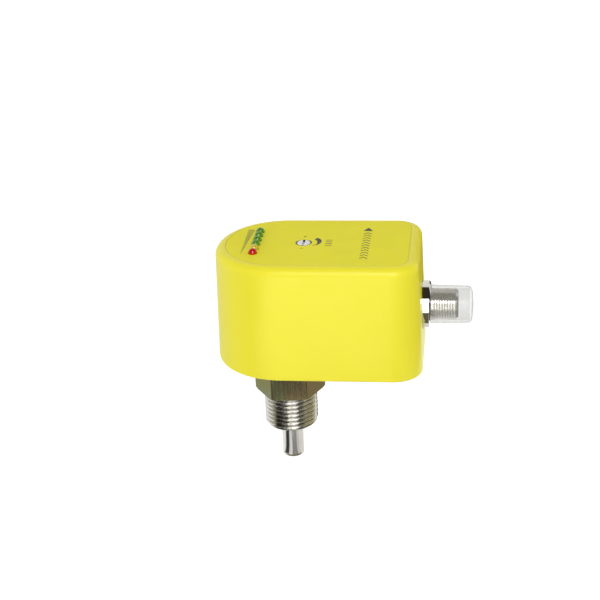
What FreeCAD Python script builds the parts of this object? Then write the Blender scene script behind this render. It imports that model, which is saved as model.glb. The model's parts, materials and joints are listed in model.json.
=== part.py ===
import FreeCAD, Part
import math
import os

V = FreeCAD.Vector

# Electronic (calorimetric) flow switch. Millimetres, +Z up, +X towards the plug connector.
# The origin is on the axis of the process thread, in the sealing face under the hexagon.

# Process connection, its seal and its locknut
THREAD_D = 20.955            # G 1/2 major diameter
THREAD_LENGTH = 15.0
THREAD_CHAMFER = 1.2
HEX_AF = 24.0
HEX_HEIGHT = 11.0
HEX_FACE_R = 13.1            # the corners are turned off outside this radius
HEX_TURN = 5.0              # degrees from the housing's long axis to a hexagon corner
STEM_COLLAR_D = 22.0
NECK_D = 16.0
NECK_LENGTH = 10.5
NECK_CHAMFER = 0.8
WIRE_BORE_D = 6.5
O_RING_R = 9.4               # centre line of the ring
O_RING_CORD_R = 0.65
GROOVE_INNER_R = 8.5
GROOVE_OUTER_R = 10.3
LOCKNUT_AF = 22.0
LOCKNUT_HEIGHT = 5.0
CORNER_CHAMFER = 30.0        # degrees, on the corners of the hexagons
NUT_FACE_INSET = 0.2         # from a nut's flats in to the start of its corner chamfer
THREAD_GAP = 0.03            # between a plain cylinder that stands for a thread and its nut

# Probe, its sensing elements and their wires
IMMERSION = 30.0             # sealing face to the tip of the probe
PROBE_D = 8.5
PROBE_WALL = 0.75
PROBE_END_WALL = 1.0
PROBE_TIP_R = 0.7
PROBE_SEAT = 10.0            # length of tube held inside the thread
ELEMENT_X = 1.7
ELEMENT_R = 1.2
ELEMENT_LENGTH = 7.0
FILLER_TOP = -8.0
LEAD_R = 0.35
LEAD_Y = 0.6

# Housing and base cover
STEM_HEIGHT = 16.5           # sealing face to the underside of the housing
HOUSING_LENGTH = 80.0
HOUSING_WIDTH = 54.0
HOUSING_HEIGHT = 45.0
CORNER_R = 11.0              # plan radius of the two corners beside the connector
DRAFT = 1.5                  # degrees, each wall leans inwards towards the top
TOP_FILLET = 3.3
BOTTOM_FILLET = 0.5
CAVITY_FILLET = 1.5
WALL = 2.5
REBATE = 1.3                 # lip left outside the base cover
BASE_FLANGE = 3.0
SEAL_THICKNESS = 0.8
SEAL_GAP = 0.1
FIT_GAP = 0.15
DISPLAY_BOSS_R = 2.8
BASE_BOSS_R = 3.0
BASE_BOSS_RISE = 3.0         # above the lower board
BASE_HOLE_RISE = 1.0
POST_FOOT_R = 3.2
POST_TOP_R = 2.3
POST_HOLE_DEPTH = 7.0
LABEL_INSET = 5.0
LABEL_THICKNESS = 0.25
LABEL_GAP = 0.2

# Screws
BASE_SCREW_R = 1.1
BASE_HEAD_R = 2.6
BASE_HEAD_HEIGHT = 1.5
BASE_SCREW_DROP = 2.0        # from the top of the lower board down to the screw's end
CROSS_REACH = 1.4
CROSS_DEPTH = 0.9
BOARD_SCREW_R = 0.9
BOARD_HEAD_R = 1.9
BOARD_HEAD_TOP_R = 1.3
BOARD_HEAD_RIM = 1.0
BOARD_HEAD_HEIGHT = 1.5
BOARD_SLOT_DEPTH = 0.7
BOARD_SHANK = 6.0
BOARD_TIP = 1.0
DRIVE_HALF = 0.3             # half the width of a slot or cross

# Indicator row
LED_COUNT = 6
LED_PITCH = 4.2
LED_X = -10.2
LED_R = 1.6
LED_FOOT_R = 1.9
LED_FOOT_HEIGHT = 1.0
LED_HEIGHT = 6.0
LED_PROUD = 1.9
LED_LEAD_R = 0.25
LED_LEAD_HOLE_R = 0.3
LED_LEAD_TAIL = 1.0          # below the display board
HOLDER_HALF = 2.6
HOLDER_CORNER_R = 1.0
HOLDER_SLOT_REACH = 1.8
HOLDER_SLOT_HALF = 0.5

# Adjuster and the potentiometer under it
TRIMMER_X = 7.8
TRIMMER_SIDE = 9.6
TRIMMER_HEIGHT = 4.8
TRIMMER_CHAMFER = 0.5
TRIMMER_FLOOR = 1.0
SPINDLE_R = 1.5
SPINDLE_END_GAP = 0.1
HEAD_GAP = 0.3               # between the potentiometer and the adjuster's head
ADJUSTER_R = 2.6
ADJUSTER_PROUD = 0.2
ADJUSTER_CHAMFER = 0.3
ADJUSTER_SLOT_HALF = 0.45
ADJUSTER_SLOT_DEPTH = 1.0
ADJUSTER_HOLE_R = 3.1
ADJUSTER_SEAL_DROP = 0.1
TURN_CLEARANCE = 0.05

# Circuit boards and what they carry
BOARD = 1.6
BOARD_CORNER_R = 2.5
POWER_BOARD_HEIGHT = 13.5    # underside of the housing to the underside of the lower board
DISPLAY_BOARD_DROP = 10.0    # top face to the upper side of the display board
POWER_BOARD_PLAN = (-9.5, 40.0, 17.0)      # two ends and half the width
DISPLAY_BOARD_PLAN = (-14.0, 40.0, 17.5)
HEADER_X = 30.0
HEADER_PINS = 6
HEADER_PITCH = 2.54
HEADER_HALF = 1.25
HEADER_HEIGHT = 2.5
HEADER_PIN_HALF = 0.32
CHIP_X = 19.0
CHIP_LENGTH = 9.9
CHIP_WIDTH = 3.9
CHIP_HEIGHT = 1.6
CHIP_STANDOFF = 0.2
CHIP_LEGS = 8                # along each side
CHIP_LEG_SHARE = 0.4         # of the pitch
CHIP_LEG_REACH = 1.0
CHIP_LEG_HEIGHT = 0.8
REGULATOR_PLACE = (8.0, -9.0)
TRANSISTOR_PLACE = (20.0, -9.0)
PACKAGE_HALF_LENGTH = 3.3
PACKAGE_HALF_WIDTH = 3.0
PACKAGE_HEIGHT = 2.3
PACKAGE_SHEET = 0.5
PACKAGE_TAB_HALF = 2.7
PACKAGE_TAB_REACH = 1.5
PACKAGE_LEG_X = 2.3
PACKAGE_LEG_HALF = 0.4
PACKAGE_LEG_REACH = 2.5
CAPACITOR_PLACE = (12.0, 8.5)
CAPACITOR_R = 4.0
CAPACITOR_HEIGHT = 11.6
CAPACITOR_EDGE = 0.4
CAPACITOR_CRIMP_HEIGHT = 1.8
CAPACITOR_CRIMP_DEPTH = 0.3

# Plug connector (M12 x 1), put in from outside and held by a nut behind the wall
CONNECTOR_RISE = 20.0        # underside of the housing to the connector axis
CONNECTOR_FACE_X = 52.1      # flat seat of the collar
SEAT_GAP = 0.75
PAD_THICKNESS = 3.2
PAD_R = 11.0
M12_R = 6.0
BARREL_END = 66.0
BARREL_LEAD = 1.0            # chamfer at the front end of the plug thread
BARREL_CHAMFER = 0.6
PLUG_BORE_R = 4.4
PLUG_BORE_CHAMFER = 0.3
PLUG_BORE_DEPTH = 8.5
COLLAR_R = 8.95              # round collar against the housing, over the gasket
COLLAR_THICKNESS = 3.5
COLLAR_CHAMFER = 0.25
REAR_R = 7.6                 # mounting thread behind the collar
REAR_LENGTH = 6.0            # behind the pad
CONNECTOR_NUT_AF = 18.0
CONNECTOR_NUT_THICKNESS = 2.8
GASKET_R = 8.35
GASKET_THICKNESS = 0.6
CARRIER_R = 5.2
CARRIER_REACH = 5.4          # behind the pad
RIB_HALF = 0.6
RIB_LOW_R = 3.6
RIB_HIGH_R = 4.35
RIB_SETBACK = 2.5            # from the end of the barrel
PIN_CIRCLE_R = 2.8
PIN_R = 0.5
PIN_TIP_R = 0.3
PIN_SETBACK = 2.2
CUP_R = 0.8
CUP_LENGTH = 2.0
PLUG_LEAD_R = 0.5
UPPER_LEAD = (34.0, 5.0)     # where a wire goes down, and the radius of its bend
LOWER_LEAD = (38.0, 2.4)

# Protective cap
CAP_R = 7.3
CAP_TAPER = 0.15
CAP_LENGTH = 16.05
CAP_END_R = 1.9
CAP_DOME_R = 40.0
CAP_END_WALL = 1.4
CAP_CLEARANCE = 0.1
CAP_MOUTH = 0.3              # widening of the bore at its mouth
CAP_MOUTH_LENGTH = 0.6

# Worked out from the above
BASE_Z = STEM_HEIGHT
TOP_Z = BASE_Z + HOUSING_HEIGHT
FLANGE_Z = BASE_Z + BASE_FLANGE
FLOOR_Z = FLANGE_Z + SEAL_THICKNESS
CEILING_Z = TOP_Z - WALL
RIGHT_X = HOUSING_LENGTH - HOUSING_WIDTH / 2
POWER_Z = BASE_Z + POWER_BOARD_HEIGHT
POWER_TOP = POWER_Z + BOARD
DISPLAY_TOP = TOP_Z - DISPLAY_BOARD_DROP
DISPLAY_Z = DISPLAY_TOP - BOARD
LED_Z = TOP_Z + LED_PROUD - LED_HEIGHT
LED_YS = [LED_PITCH * (i - (LED_COUNT - 1) / 2) for i in range(LED_COUNT)]
LED_WELL_R = LED_R + FIT_GAP
CONNECTOR_Z = BASE_Z + CONNECTOR_RISE
GASKET_X = CONNECTOR_FACE_X - GASKET_THICKNESS
COLLAR_FRONT_X = CONNECTOR_FACE_X + COLLAR_THICKNESS
CAP_X = COLLAR_FRONT_X + CAP_CLEARANCE / 2
PAD_X = CONNECTOR_FACE_X - PAD_THICKNESS
REAR_END_X = PAD_X - REAR_LENGTH
CARRIER_X = PAD_X - CARRIER_REACH
CUP_X = CARRIER_X - CUP_LENGTH
INSERT_X = BARREL_END - PLUG_BORE_DEPTH    # front of the insert, floor of the plug bore
PROBE_INNER_R = PROBE_D / 2 - PROBE_WALL
PROBE_FLOOR = PROBE_END_WALL - IMMERSION
TUBE_TOP = PROBE_SEAT - THREAD_LENGTH
LEAD_POINTS = [(sx * ELEMENT_X, sy * LEAD_Y) for sx in (-1, 1) for sy in (-1, 1)]

# Fixing points, as (x, y)
BASE_SCREWS = [(x, s * y) for x, y in ((-15.8, 15.3), (46.2, 20.2)) for s in (-1, 1)]
POWER_SCREWS = [(x, s * 14.3) for x in (-6.5, 36.0) for s in (-1, 1)]
DISPLAY_SCREWS = [(x, s * 14.5) for x in (0.0, 36.0) for s in (-1, 1)]


def cylinder(radius, z_low, z_high, x=0.0, y=0.0):
    return Part.makeCylinder(radius, z_high - z_low, V(x, y, z_low))


def x_cylinder(radius, x_low, x_high, y=0.0, z=CONNECTOR_Z):
    return Part.makeCylinder(radius, x_high - x_low, V(x_low, y, z), V(1, 0, 0))


def box(x_low, x_high, y_low, y_high, z_low, z_high):
    return Part.makeBox(x_high - x_low, y_high - y_low, z_high - z_low, V(x_low, y_low, z_low))


def ring(outer, inner, z_low, z_high, x=0.0, y=0.0):
    return cylinder(outer, z_low, z_high, x, y).cut(cylinder(inner, z_low, z_high, x, y))


def turned(profile, x=0.0, y=0.0):
    """Solid of revolution about a vertical axis, from (radius, z) points."""
    face = Part.Face(Part.makePolygon([V(x + r, y, z) for r, z in profile + profile[:1]]))
    return face.revolve(V(x, y, 0), V(0, 0, 1), 360)


def x_turned(profile):
    """Solid of revolution about the connector axis, from (x, radius) points."""
    face = Part.Face(Part.makePolygon([V(x, 0, CONNECTOR_Z + r) for x, r in profile + profile[:1]]))
    return face.revolve(V(0, 0, CONNECTOR_Z), V(1, 0, 0), 360)


def hexagon(across_flats, z_low, z_high, turn=0.0):
    """Hexagonal bar along Z with one corner turned away from +X."""
    radius = across_flats / math.sqrt(3)
    angles = [math.radians(turn + 60 * i) for i in range(7)]
    outline = Part.makePolygon([V(radius * math.cos(a), radius * math.sin(a), z_low) for a in angles])
    return Part.Face(outline).extrude(V(0, 0, z_high - z_low))


def chamfered_hexagon(across_flats, face_r, z_low, z_high, turn=0.0):
    """Hexagonal bar whose corners are turned off at both ends, outside the radius face_r."""
    corner = across_flats / math.sqrt(3)
    drop = (corner - face_r) * math.tan(math.radians(CORNER_CHAMFER))
    cone = turned([(0, z_low), (face_r, z_low), (corner, z_low + drop),
                   (corner, z_high - drop), (face_r, z_high), (0, z_high)])
    return hexagon(across_flats, z_low, z_high, turn).common(cone)


def nut(across_flats, z_low, z_high, thread_r):
    blank = chamfered_hexagon(across_flats, across_flats / 2 - NUT_FACE_INSET, z_low, z_high)
    return blank.cut(cylinder(thread_r + THREAD_GAP, z_low, z_high))


def plan_wire(inset, z):
    """Plan outline of the housing: a half round end, two straight sides and two rounded corners."""
    half = HOUSING_WIDTH / 2 - inset
    right = RIGHT_X - inset
    corner_x = RIGHT_X - CORNER_R
    corner_y = HOUSING_WIDTH / 2 - CORNER_R
    reach = (CORNER_R - inset) * math.sqrt(0.5)
    curves = [
        Part.LineSegment(V(0, -half, z), V(corner_x, -half, z)),
        Part.Arc(V(corner_x, -half, z), V(corner_x + reach, -corner_y - reach, z), V(right, -corner_y, z)),
        Part.LineSegment(V(right, -corner_y, z), V(right, corner_y, z)),
        Part.Arc(V(right, corner_y, z), V(corner_x + reach, corner_y + reach, z), V(corner_x, half, z)),
        Part.LineSegment(V(corner_x, half, z), V(0, half, z)),
        Part.Arc(V(0, half, z), V(-half, 0, z), V(0, -half, z)),
    ]
    return Part.Wire([curve.toShape() for curve in curves])


def plate(z_low, z_high, inset):
    return Part.Face(plan_wire(inset, z_low)).extrude(V(0, 0, z_high - z_low))


def drafted_block(z_low, z_high, inset):
    """Block with the housing's plan and the draft of its walls."""
    lean = math.tan(math.radians(DRAFT))
    wires = [plan_wire(inset + lean * (z - BASE_Z), z) for z in (z_low, z_high)]
    return Part.makeLoft(wires, True, True)


def edges_at(shape, z):
    return [e for e in shape.Edges if all(abs(v.Z - z) < 1e-6 for v in e.Vertexes)]


def upright_edges(shape):
    return [e for e in shape.Edges if abs(e.tangentAt(e.FirstParameter).z) > 0.99]


def joined(shapes):
    return shapes[0].multiFuse(shapes[1:]).removeSplitter()


def housing_shell():
    """Moulded cup, open underneath, with screw bosses and a seat for each piece that passes through."""
    body = drafted_block(BASE_Z, TOP_Z, 0)
    body = body.makeFillet(TOP_FILLET, edges_at(body, TOP_Z))
    body = body.makeFillet(BOTTOM_FILLET, edges_at(body, BASE_Z))
    cavity = drafted_block(BASE_Z, CEILING_Z, WALL)
    cavity = cavity.makeFillet(CAVITY_FILLET, edges_at(cavity, CEILING_Z))
    bosses = [cylinder(DISPLAY_BOSS_R, DISPLAY_TOP, TOP_Z, x, y) for x, y in DISPLAY_SCREWS]
    bosses += [cylinder(BASE_BOSS_R, FLOOR_Z, POWER_TOP + BASE_BOSS_RISE, x, y) for x, y in BASE_SCREWS]
    bosses.append(x_cylinder(PAD_R, PAD_X, RIGHT_X))
    holes = [plate(BASE_Z, FLOOR_Z, REBATE), plate(TOP_Z - LABEL_THICKNESS, TOP_Z, LABEL_INSET)]
    holes += [cylinder(LED_WELL_R, CEILING_Z, TOP_Z, LED_X, y) for y in LED_YS]
    holes.append(cylinder(ADJUSTER_HOLE_R, CEILING_Z, TOP_Z, TRIMMER_X))
    holes += [cylinder(BOARD_SCREW_R, DISPLAY_TOP, CEILING_Z, x, y) for x, y in DISPLAY_SCREWS]
    holes += [cylinder(BASE_SCREW_R, FLOOR_Z, POWER_TOP + BASE_HOLE_RISE, x, y) for x, y in BASE_SCREWS]
    holes.append(x_cylinder(REAR_R + FIT_GAP, PAD_X, RIGHT_X))
    holes.append(x_cylinder(GASKET_R, GASKET_X, RIGHT_X))
    holes.append(x_cylinder(COLLAR_R + SEAT_GAP, CONNECTOR_FACE_X, RIGHT_X))
    shell = body.cut(cavity.cut(bosses))
    return shell.cut(holes)


def base_cover():
    """Closing plate with a locating step, posts for the lower board and countersunk screw holes."""
    post = [(0, FLANGE_Z), (POST_FOOT_R, FLANGE_Z), (POST_TOP_R, POWER_Z), (0, POWER_Z)]
    cover = [plate(BASE_Z, FLANGE_Z, REBATE + FIT_GAP), plate(FLANGE_Z, FLOOR_Z, WALL + FIT_GAP)]
    cover += [turned(post, x, y) for x, y in POWER_SCREWS]
    holes = [cylinder(NECK_D / 2 + FIT_GAP, BASE_Z, FLOOR_Z)]
    holes += [cylinder(BOARD_SCREW_R, POWER_Z - POST_HOLE_DEPTH, POWER_Z, x, y) for x, y in POWER_SCREWS]
    holes += [countersunk_form(x, y, FLOOR_Z) for x, y in BASE_SCREWS]
    return joined(cover).cut(holes)


def base_seal():
    outer = plate(FLANGE_Z, FLOOR_Z, REBATE + SEAL_GAP)
    return outer.cut(plate(FLANGE_Z, FLOOR_Z, WALL + SEAL_GAP))


def countersunk_form(x, y, z_end):
    """Flat head and shank of a base screw, from the underside up to z_end."""
    return turned([(0, BASE_Z), (BASE_HEAD_R, BASE_Z), (BASE_SCREW_R, BASE_Z + BASE_HEAD_HEIGHT),
                   (BASE_SCREW_R, z_end), (0, z_end)], x, y)


def base_screw(x, y):
    arms = ((CROSS_REACH, DRIVE_HALF), (DRIVE_HALF, CROSS_REACH))
    cross = [box(x - a, x + a, y - b, y + b, BASE_Z, BASE_Z + CROSS_DEPTH) for a, b in arms]
    return countersunk_form(x, y, POWER_TOP - BASE_SCREW_DROP).cut(cross)


def board_screw(x, y, z, up):
    """Pan head screw whose head bears on a board at z, with the shank going up or down."""
    side = 1 if up else -1
    top = z - side * BOARD_HEAD_HEIGHT
    profile = [(0, top), (BOARD_HEAD_TOP_R, top), (BOARD_HEAD_R, z - side * BOARD_HEAD_RIM),
               (BOARD_HEAD_R, z), (BOARD_SCREW_R, z), (BOARD_SCREW_R, z + side * BOARD_SHANK),
               (0, z + side * (BOARD_SHANK + BOARD_TIP))]
    low, high = sorted((top, top + side * BOARD_SLOT_DEPTH))
    slot = box(x - BOARD_HEAD_TOP_R, x + BOARD_HEAD_TOP_R, y - DRIVE_HALF, y + DRIVE_HALF, low, high)
    return turned(profile, x, y).cut(slot)


def front_label():
    label = plate(TOP_Z - LABEL_THICKNESS, TOP_Z, LABEL_INSET + LABEL_GAP)
    holes = [cylinder(LED_WELL_R, TOP_Z - LABEL_THICKNESS, TOP_Z, LED_X, y) for y in LED_YS]
    holes.append(cylinder(ADJUSTER_HOLE_R, TOP_Z - LABEL_THICKNESS, TOP_Z, TRIMMER_X))
    return label.cut(holes)


def led(y):
    """Dome lamp with a flange at its foot."""
    dome_z = LED_Z + LED_HEIGHT - LED_R
    reach = LED_R * math.sqrt(0.5)
    foot = LED_Z + LED_FOOT_HEIGHT
    corners = [V(0, 0, LED_Z), V(LED_FOOT_R, 0, LED_Z), V(LED_FOOT_R, 0, foot), V(LED_R, 0, foot),
               V(LED_R, 0, dome_z)]
    top = V(0, 0, LED_Z + LED_HEIGHT)
    edges = [Part.makeLine(a, b) for a, b in zip(corners, corners[1:])]
    edges.append(Part.Arc(corners[-1], V(reach, 0, dome_z + reach), top).toShape())
    edges.append(Part.makeLine(top, corners[0]))
    lamp = Part.Face(Part.Wire(edges)).revolve(V(0, 0, 0), V(0, 0, 1), 360)
    return lamp.translated(V(LED_X, y, 0))


def led_lead_points():
    return [(LED_X + s * HEADER_PITCH / 2, y) for y in LED_YS for s in (-1, 1)]


def led_holder():
    """Spacer strip that stands the lamps at the height of the top face."""
    reach = LED_YS[-1] + LED_PITCH / 2
    strip = box(LED_X - HOLDER_HALF, LED_X + HOLDER_HALF, -reach, reach, DISPLAY_TOP, LED_Z)
    slots = [box(LED_X - HOLDER_SLOT_REACH, LED_X + HOLDER_SLOT_REACH, y - HOLDER_SLOT_HALF,
                 y + HOLDER_SLOT_HALF, DISPLAY_TOP, LED_Z) for y in LED_YS]
    return strip.makeFillet(HOLDER_CORNER_R, upright_edges(strip)).cut(slots)


def led_leads():
    return [cylinder(LED_LEAD_R, DISPLAY_Z - LED_LEAD_TAIL, LED_Z, x, y) for x, y in led_lead_points()]


def trimmer_body():
    half = TRIMMER_SIDE / 2
    top = DISPLAY_TOP + TRIMMER_HEIGHT
    case = box(TRIMMER_X - half, TRIMMER_X + half, -half, half, DISPLAY_TOP, top)
    case = case.makeChamfer(TRIMMER_CHAMFER, edges_at(case, top))
    return case.cut(cylinder(SPINDLE_R + TURN_CLEARANCE, DISPLAY_TOP + TRIMMER_FLOOR, top, TRIMMER_X))


def trimmer_rotor():
    """Adjuster that turns: a spindle in the potentiometer and a slotted head in the top face."""
    end = DISPLAY_TOP + TRIMMER_FLOOR + SPINDLE_END_GAP
    foot = DISPLAY_TOP + TRIMMER_HEIGHT + HEAD_GAP
    head = TOP_Z + ADJUSTER_PROUD
    rim = head - ADJUSTER_CHAMFER
    rotor = turned([(0, end), (SPINDLE_R, end), (SPINDLE_R, foot), (ADJUSTER_R, foot), (ADJUSTER_R, rim),
                    (ADJUSTER_R - ADJUSTER_CHAMFER, head), (0, head)], TRIMMER_X)
    slot = box(TRIMMER_X - ADJUSTER_SLOT_HALF, TRIMMER_X + ADJUSTER_SLOT_HALF, -ADJUSTER_R, ADJUSTER_R,
               head - ADJUSTER_SLOT_DEPTH, head)
    return rotor.cut(slot)


def trimmer_seal():
    inner = ADJUSTER_R + TURN_CLEARANCE
    return ring(ADJUSTER_HOLE_R, inner, CEILING_Z, TOP_Z - ADJUSTER_SEAL_DROP, TRIMMER_X)


def board(plan, z, holes):
    x_low, x_high, half_width = plan
    blank = box(x_low, x_high, -half_width, half_width, z, z + BOARD)
    return blank.makeFillet(BOARD_CORNER_R, upright_edges(blank)).cut(holes)


def display_board():
    holes = [cylinder(BOARD_SCREW_R, DISPLAY_Z, DISPLAY_TOP, x, y) for x, y in DISPLAY_SCREWS]
    holes += [cylinder(LED_LEAD_HOLE_R, DISPLAY_Z, DISPLAY_TOP, x, y) for x, y in led_lead_points()]
    return board(DISPLAY_BOARD_PLAN, DISPLAY_Z, holes)


def power_board():
    holes = [cylinder(BOARD_SCREW_R, POWER_Z, POWER_TOP, x, y) for x, y in POWER_SCREWS]
    return board(POWER_BOARD_PLAN, POWER_Z, holes)


def signal_ic():
    """Moulded circuit under the display board, with a row of legs along both long sides."""
    start = CHIP_X - CHIP_LENGTH / 2
    side = CHIP_WIDTH / 2
    pitch = CHIP_LENGTH / CHIP_LEGS
    leg = pitch * CHIP_LEG_SHARE
    reach = side + CHIP_LEG_REACH
    leg_low = DISPLAY_Z - CHIP_LEG_HEIGHT
    body = box(start, start + CHIP_LENGTH, -side, side, DISPLAY_Z - CHIP_HEIGHT, DISPLAY_Z - CHIP_STANDOFF)
    leg_starts = [start + pitch * (i + 0.5) - leg / 2 for i in range(CHIP_LEGS)]
    legs = [box(x, x + leg, -reach, reach, leg_low, DISPLAY_Z) for x in leg_starts]
    return joined([body] + legs)


def power_package(x, y):
    """Flat power package: moulded body with a metal tab and two legs."""
    back, front = y + PACKAGE_HALF_WIDTH, y - PACKAGE_HALF_WIDTH

    def block(x_mid, half, y_low, y_high, height):
        return box(x_mid - half, x_mid + half, y_low, y_high, POWER_TOP, POWER_TOP + height)

    body = block(x, PACKAGE_HALF_LENGTH, front, back, PACKAGE_HEIGHT)
    tab = block(x, PACKAGE_TAB_HALF, back, back + PACKAGE_TAB_REACH, PACKAGE_SHEET)
    legs = [block(x + side * PACKAGE_LEG_X, PACKAGE_LEG_HALF, front - PACKAGE_LEG_REACH, front, PACKAGE_SHEET)
            for side in (-1, 1)]
    return joined([body, tab] + legs)


def filter_capacitor():
    """Can with a crimp near its foot and bevelled rims."""
    z, r, edge = POWER_TOP, CAPACITOR_R, CAPACITOR_EDGE
    crimp, top = z + CAPACITOR_CRIMP_HEIGHT, z + CAPACITOR_HEIGHT
    return turned([(0, z), (r - edge / 2, z), (r, z + edge), (r, crimp - edge),
                   (r - CAPACITOR_CRIMP_DEPTH, crimp), (r, crimp + edge), (r, top - edge), (r - edge, top),
                   (0, top)], *CAPACITOR_PLACE)


def header_pins():
    half = HEADER_PIN_HALF
    places = [HEADER_PITCH * (i - (HEADER_PINS - 1) / 2) for i in range(HEADER_PINS)]
    return [box(HEADER_X - half, HEADER_X + half, y - half, y + half, POWER_TOP, DISPLAY_Z) for y in places]


def board_header():
    reach = HEADER_PITCH * HEADER_PINS / 2
    strip = box(HEADER_X - HEADER_HALF, HEADER_X + HEADER_HALF, -reach, reach, POWER_TOP,
                POWER_TOP + HEADER_HEIGHT)
    return strip.cut(header_pins())


def process_connection():
    """Turned body: hexagon, male thread, collar with a seal groove and a neck for the locknut."""
    thread_r, collar_r, neck_r = THREAD_D / 2, STEM_COLLAR_D / 2, NECK_D / 2
    neck_top = BASE_Z + NECK_LENGTH
    turned_part = turned([
        (0, -THREAD_LENGTH), (thread_r - THREAD_CHAMFER, -THREAD_LENGTH),
        (thread_r, THREAD_CHAMFER - THREAD_LENGTH), (thread_r, HEX_HEIGHT), (collar_r, HEX_HEIGHT),
        (collar_r, BASE_Z), (neck_r, BASE_Z), (neck_r, neck_top - NECK_CHAMFER),
        (neck_r - NECK_CHAMFER, neck_top), (0, neck_top)])
    bores = [cylinder(WIRE_BORE_D / 2, TUBE_TOP, neck_top), cylinder(PROBE_D / 2, -THREAD_LENGTH, TUBE_TOP)]
    bores.append(ring(GROOVE_OUTER_R, GROOVE_INNER_R, BASE_Z - 2 * O_RING_CORD_R, BASE_Z))
    hex_part = chamfered_hexagon(HEX_AF, HEX_FACE_R, 0, HEX_HEIGHT, HEX_TURN)
    return joined([turned_part, hex_part]).cut(bores)


def stem_o_ring():
    return Part.makeTorus(O_RING_R, O_RING_CORD_R, V(0, 0, BASE_Z - O_RING_CORD_R))


def stem_locknut():
    return nut(LOCKNUT_AF, FLOOR_Z, FLOOR_Z + LOCKNUT_HEIGHT, NECK_D / 2)


def probe_tube():
    """Drawn tube with a closed, rounded tip."""
    tube = cylinder(PROBE_D / 2, -IMMERSION, TUBE_TOP)
    tube = tube.makeFillet(PROBE_TIP_R, edges_at(tube, -IMMERSION))
    return tube.cut(cylinder(PROBE_INNER_R, PROBE_FLOOR, TUBE_TOP))


def element(x):
    return cylinder(ELEMENT_R, PROBE_FLOOR, PROBE_FLOOR + ELEMENT_LENGTH, x)


def sensor_leads():
    return [cylinder(LEAD_R, PROBE_FLOOR + ELEMENT_LENGTH, POWER_Z, x, y) for x, y in LEAD_POINTS]


def probe_filler():
    fill = cylinder(PROBE_INNER_R, PROBE_FLOOR, FILLER_TOP)
    return fill.cut([element(-ELEMENT_X), element(ELEMENT_X)] + sensor_leads())


def connector_body():
    """Plated barrel with a round collar and a rear thread; the front bore takes the mating plug."""
    seat, front = CONNECTOR_FACE_X, COLLAR_FRONT_X
    return x_turned([
        (REAR_END_X, CARRIER_R), (REAR_END_X, REAR_R - BARREL_CHAMFER), (REAR_END_X + BARREL_CHAMFER, REAR_R),
        (seat, REAR_R), (seat, COLLAR_R), (front - COLLAR_CHAMFER, COLLAR_R),
        (front, COLLAR_R - COLLAR_CHAMFER), (front, M12_R), (BARREL_END - BARREL_LEAD, M12_R),
        (BARREL_END, M12_R - BARREL_LEAD),
        (BARREL_END, PLUG_BORE_R + PLUG_BORE_CHAMFER), (BARREL_END - PLUG_BORE_CHAMFER, PLUG_BORE_R),
        (INSERT_X, PLUG_BORE_R), (INSERT_X, CARRIER_R)])


def pin_places():
    offset = PIN_CIRCLE_R * math.sqrt(0.5)
    return [(sy * offset, CONNECTOR_Z + sz * offset) for sy in (-1, 1) for sz in (-1, 1)]


def contact_pin(y, z):
    """Round contact with a rounded tip and a thicker solder cup behind the insert."""
    end = BARREL_END - PIN_SETBACK
    shank = x_cylinder(PIN_R, CARRIER_X, end, y, z)
    tip = [e for e in shank.Edges if e.BoundBox.XMin > end - PIN_R]
    return joined([shank.makeFillet(PIN_TIP_R, tip), x_cylinder(CUP_R, CUP_X, CARRIER_X, y, z)])


def contact_carrier():
    """Moulded insert with a coding rib along the front bore."""
    carrier = x_cylinder(CARRIER_R, CARRIER_X, INSERT_X)
    rib = box(INSERT_X, BARREL_END - RIB_SETBACK, -RIB_HALF, RIB_HALF, CONNECTOR_Z + RIB_LOW_R,
              CONNECTOR_Z + RIB_HIGH_R)
    holes = [x_cylinder(PIN_R, CARRIER_X, INSERT_X, y, z) for y, z in pin_places()]
    return joined([carrier, rib]).cut(holes)


def connector_nut():
    """Hexagon nut on the rear thread, against the pad inside the wall."""
    ring_nut = nut(CONNECTOR_NUT_AF, 0, CONNECTOR_NUT_THICKNESS, REAR_R)
    ring_nut.rotate(V(0, 0, 0), V(0, 1, 0), 90)
    ring_nut.translate(V(PAD_X - CONNECTOR_NUT_THICKNESS, 0, CONNECTOR_Z))
    return ring_nut


def connector_gasket():
    """Flat ring in a step of the seat, under the collar."""
    outer = x_cylinder(GASKET_R, GASKET_X, CONNECTOR_FACE_X)
    return outer.cut(x_cylinder(REAR_R, GASKET_X, CONNECTOR_FACE_X))


def plug_lead(y, z, x_down, bend):
    """Insulated wire from a solder cup, round one bend, down to the lower board."""
    start = V(CUP_X, y, z)
    reach = bend * math.sqrt(0.5)
    turn_start = V(x_down + bend, y, z)
    turn_end = V(x_down, y, z - bend)
    middle = V(x_down + bend - reach, y, z - bend + reach)
    path = Part.Wire([Part.makeLine(start, turn_start), Part.Arc(turn_start, middle, turn_end).toShape(),
                      Part.makeLine(turn_end, V(x_down, y, POWER_TOP))])
    section = Part.Wire(Part.makeCircle(PLUG_LEAD_R, start, V(-1, 0, 0)))
    return path.makePipeShell([section], True, True)


def connector_leads():
    return [plug_lead(y, z, *(UPPER_LEAD if z > CONNECTOR_Z else LOWER_LEAD)) for y, z in pin_places()]


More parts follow.
